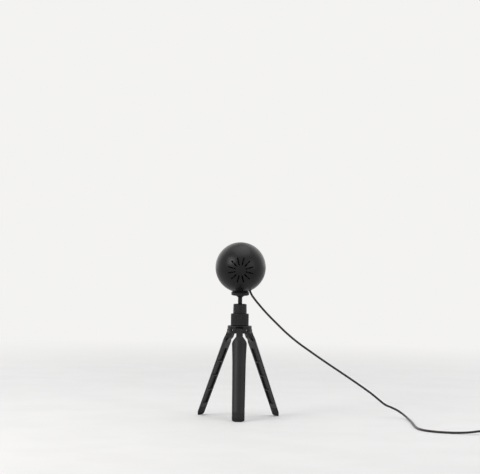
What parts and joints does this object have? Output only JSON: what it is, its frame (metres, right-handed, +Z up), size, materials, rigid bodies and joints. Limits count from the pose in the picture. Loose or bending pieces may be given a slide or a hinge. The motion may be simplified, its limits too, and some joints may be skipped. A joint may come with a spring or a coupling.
{
  "type": "sunset projection lamp",
  "caption": "Ball-shaped projection lamp head on a ball joint with a locking collar, over a small tripod with folding legs, with a USB lead and a switch on it.",
  "frame": {"origin": "on the surface, under the centre of the lamp's outline seen from above, without the lead", "axes": "+Z up; +Y forward, the way the lens looks; +X to the lamp's left, the side where the lead comes out"},
  "size_m": [0.4586, 0.2184, 0.2442],
  "materials": {
    "stand_plastic": "satin",
    "black_metal": "satin",
    "pin_steel": "satin",
    "pale_nylon": "satin",
    "black_rubber": "matte",
    "gasket_rubber": "matte",
    "shell_metal": "satin",
    "brass": "satin",
    "clear_glass": "polished",
    "filter_glass": "polished",
    "dark_metal": "matte",
    "bare_aluminium": "satin",
    "led_yellow": "satin",
    "board_white": "satin",
    "board_green": "gloss",
    "dark_parts": "satin",
    "red_wire": "satin",
    "lead_black": "satin",
    "strap_black": "matte",
    "switch_plastic": "satin",
    "button_plastic": "satin",
    "plug_steel": "satin"
  },
  "bodies": {
    "stand": {"hub": "stand_plastic", "socket_cup": "stand_plastic", "leg_pins": "pin_steel", "leg_washers": "stand_plastic", "cord_top": "lead_black", "cord_drop": "lead_black", "cord_run": "lead_black", "switch_bushings": "black_rubber", "switch_case_bottom": "switch_plastic", "switch_case_top": "switch_plastic", "switch_board": "board_green", "switch_screws": "pin_steel", "cord_feed": "lead_black", "cord_coil": "lead_black", "coil_tie": "strap_black", "cord_tail": "lead_black", "plug_boot": "black_rubber", "plug_body": "switch_plastic", "usb_shell": "plug_steel", "usb_tongue": "board_white", "usb_contacts": "brass"},
    "button": {"switch_button": "button_plastic"},
    "front_leg": {"leg_front": "stand_plastic", "foot_front": "black_rubber"},
    "right_leg": {"leg_right": "stand_plastic", "foot_right": "black_rubber"},
    "left_leg": {"leg_left": "stand_plastic", "foot_left": "black_rubber"},
    "collar": {"lock_collar": "stand_plastic"},
    "brake": {"brake_pad": "pale_nylon", "brake_pin": "pin_steel"},
    "seat": {"ball_seat": "pale_nylon"},
    "head": {"ball_stud": "black_metal", "mount_plate": "stand_plastic", "plate_pad": "black_rubber", "threaded_insert": "brass", "rear_shell": "shell_metal", "front_shell": "shell_metal", "lens_bezel": "shell_metal", "lens_gasket": "gasket_rubber", "projection_lens": "clear_glass", "lens_tube": "dark_metal", "colour_filter": "filter_glass", "filter_ring": "bare_aluminium", "reflector": "bare_aluminium", "led_chip": "led_yellow", "led_board": "board_white", "led_screws": "pin_steel", "led_wires": "red_wire", "heat_sink": "dark_metal", "spacer_posts": "brass", "frame_screws": "pin_steel", "driver_board": "board_green", "driver_parts": "dark_parts", "inner_lead": "lead_black", "cord_grommet": "black_rubber"}
  },
  "joints": [
    {"name": "front_leg_fold", "type": "hinge", "parent": "stand", "child": "front_leg", "pos_m": [0, 0.00061, 0.122], "axis": [1, 0, 0], "range_deg": [0, 22]},
    {"name": "right_leg_fold", "type": "hinge", "parent": "stand", "child": "right_leg", "pos_m": [0.01082, 0.01936, 0.122], "axis": [-0.5, 0.866, 0], "range_deg": [0, 22]},
    {"name": "left_leg_fold", "type": "hinge", "parent": "stand", "child": "left_leg", "pos_m": [-0.01082, 0.01936, 0.122], "axis": [-0.5, -0.866, 0], "range_deg": [0, 22]},
    {"name": "collar_turn", "type": "hinge", "parent": "stand", "child": "collar", "pos_m": [0, 0.01311, 0.1364], "axis": [0, 0, 1], "range_deg": [0, 120]},
    {"name": "brake_slide", "type": "slide", "parent": "stand", "child": "brake", "axis": [0, 0, 1], "range_m": [-0.0006, 0]},
    {"name": "ball_pan", "type": "hinge", "parent": "stand", "child": "seat", "pos_m": [0, 0.01311, 0.1515], "axis": [0, 0, 1], "range_deg": [-90, 90], "deforming": ["cord_top", "cord_drop"]},
    {"name": "ball_tilt", "type": "hinge", "parent": "seat", "child": "head", "pos_m": [0, 0.01311, 0.1515], "axis": [1, 0, 0], "range_deg": [-36, 24], "deforming": ["cord_top", "cord_drop"]},
    {"name": "switch_press", "type": "slide", "parent": "stand", "child": "button", "axis": [0, 0, -1], "range_m": [0, 0.0009], "stiffness_N_per_m": 900, "springref_m": -0.0006}
  ],
  "couplings": [
    {"joint": "brake_slide", "follows": "collar_turn", "m_per_rad": -0.000286}
  ]
}
